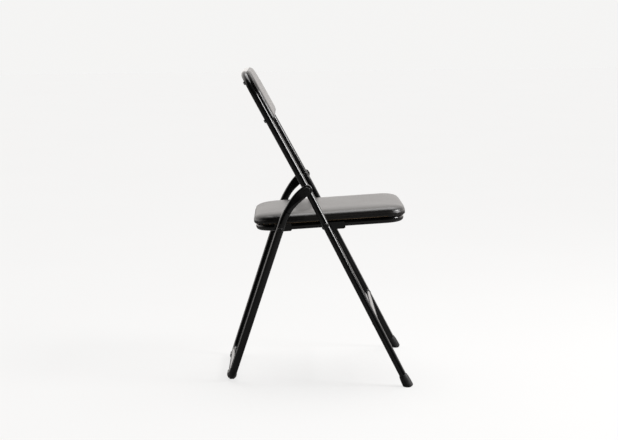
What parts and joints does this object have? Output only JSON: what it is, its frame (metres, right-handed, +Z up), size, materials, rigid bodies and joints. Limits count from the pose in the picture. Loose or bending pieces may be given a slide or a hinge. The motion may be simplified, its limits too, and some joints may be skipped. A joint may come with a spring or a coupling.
{
  "type": "folding chair",
  "caption": "Padded folding chair: a bent-tube front frame with backrest, a rear leg frame hinged to it and a seat on a tube ring, folding flat together.",
  "frame": {"origin": "on the floor, under the middle of the open chair's box", "axes": "+Z up, -Y the way the sitter faces, +X to the sitter's left"},
  "size_m": [0.4792, 0.4752, 0.7991],
  "materials": {
    "frame_paint": "gloss black powder coat",
    "rivet": "black, satin",
    "glide": "moulded, satin",
    "foot_rubber": "matt",
    "board": "plywood, unpainted",
    "back_panel": "hardboard, painted black",
    "foam": "open-cell foam",
    "vinyl": "black vinyl, fine grain",
    "zinc": "zinc plated"
  },
  "bodies": {
    "front_frame": {"front_frame_tube": "frame_paint", "front_brace": "frame_paint", "front_foot_cap_left": "foot_rubber", "front_foot_cap_right": "foot_rubber", "back_board": "back_panel", "back_foam": "foam", "back_cover": "vinyl", "back_screws": "zinc", "back_nuts": "zinc", "main_pivot_rivets": "rivet", "main_pivot_washers": "glide", "seat_pivot_rivets": "rivet", "seat_pivot_spacers": "glide"},
    "rear_frame": {"rear_frame_tube": "frame_paint", "rear_glide_left": "glide", "rear_glide_right": "glide", "seat_support_studs": "rivet"},
    "seat": {"seat_ring": "frame_paint", "seat_hinge_plate_left": "frame_paint", "seat_hinge_plate_right": "frame_paint", "seat_latch_plate_left": "frame_paint", "seat_latch_plate_right": "frame_paint", "seat_board": "board", "seat_foam": "foam", "seat_cover": "vinyl", "seat_screws": "zinc", "seat_nuts": "zinc"}
  },
  "joints": [
    {"name": "rear_frame_fold", "type": "hinge", "parent": "front_frame", "child": "rear_frame", "pos_m": [0, 0.0258, 0.5], "axis": [-1, 0, 0], "range_deg": [0, 45.29]},
    {"name": "seat_fold", "type": "hinge", "parent": "front_frame", "child": "seat", "pos_m": [0, -0.02121, 0.4082], "axis": [1, 0, 0], "range_deg": [0, 66.49]}
  ],
  "couplings": [
    {"joint": "rear_frame_fold", "follows": "seat_fold", "ratio": 0.68112}
  ]
}
